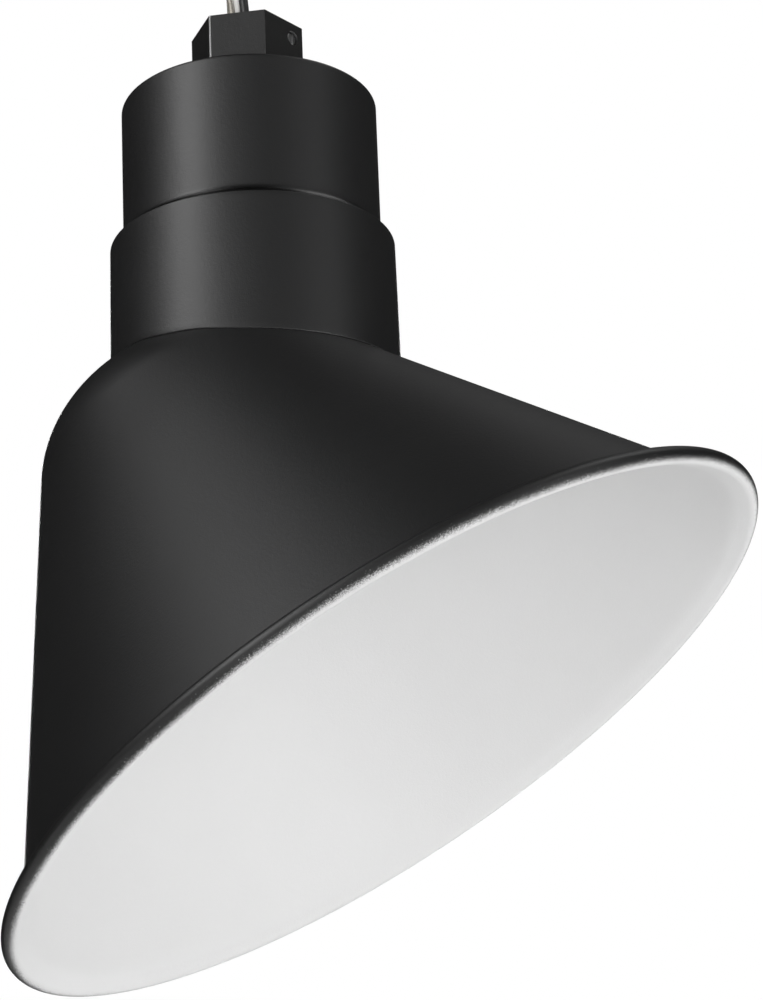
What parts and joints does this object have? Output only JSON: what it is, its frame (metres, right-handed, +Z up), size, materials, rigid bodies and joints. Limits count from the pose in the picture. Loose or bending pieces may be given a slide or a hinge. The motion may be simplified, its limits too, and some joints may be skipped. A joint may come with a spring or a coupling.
{
  "type": "angled shade lamp head",
  "caption": "Angled barn-style shade lamp head on a stepped neck, with a hexagonal threaded hub, lampholder and leads.",
  "frame": {"origin": "centre of the hexagonal hub's top face, on the axis of its thread", "axes": "+Z up the neck's axis and out of the hub, +X the way the mouth faces outwards, +Y across the mouth"},
  "size_m": [0.2648, 0.3046, 0.3834],
  "materials": {
    "black_enamel": "satin black powder coat outside, white inside",
    "black_hub": "satin black powder coat",
    "steel_screw": "bright steel",
    "black_rubber": "matt",
    "zinc_steel": "zinc plated",
    "fibre_board": "vulcanised fibre",
    "porcelain": "glazed porcelain",
    "nickel_shell": "nickel plated brass",
    "brass_contact": "phosphor bronze",
    "green_screw": "green passivated",
    "white_insulation": "extruded insulation",
    "black_insulation": "extruded insulation",
    "bare_strand": "tinned copper strands",
    "tinned_tip": "tinned copper strands"
  },
  "bodies": {
    "lamp_head": {"shade": "black_enamel", "neck_collar": "black_enamel", "socket_housing": "black_enamel", "hex_hub": "black_hub", "hub_gasket": "black_rubber", "hub_locknut": "zinc_steel", "lock_washer": "zinc_steel", "socket_yoke": "zinc_steel", "insulating_disc": "fibre_board", "socket_body": "porcelain", "screw_shell": "nickel_shell", "shell_rivets": "brass_contact", "contact_plate": "brass_contact", "contact_rivet": "brass_contact", "shell_terminal": "nickel_shell", "contact_terminal": "brass_contact", "socket_screws": "zinc_steel", "socket_nuts": "zinc_steel", "ground_screw": "green_screw", "ground_ring_terminal": "nickel_shell", "white_lead_in_housing": "white_insulation", "black_lead_in_housing": "black_insulation", "ground_lead_in_housing": "bare_strand", "white_lead": "white_insulation", "black_lead": "black_insulation", "ground_lead": "bare_strand", "white_lead_tip": "tinned_tip", "black_lead_tip": "tinned_tip"},
    "set_screw": {"hub_set_screw": "steel_screw"},
    "spring_contact": {"contact_tongue": "brass_contact"}
  },
  "joints": [
    {"name": "set_screw_travel", "type": "slide", "parent": "lamp_head", "child": "set_screw", "axis": [0.8171, -0.5764, 0], "range_m": [-0.0012, 0.004]},
    {"name": "contact_flex", "type": "hinge", "parent": "lamp_head", "child": "spring_contact", "pos_m": [-0.00385, 0, -0.0834], "axis": [0, -1, 0], "range_deg": [0, 14], "stiffness_Nm_per_rad": 0.2}
  ]
}
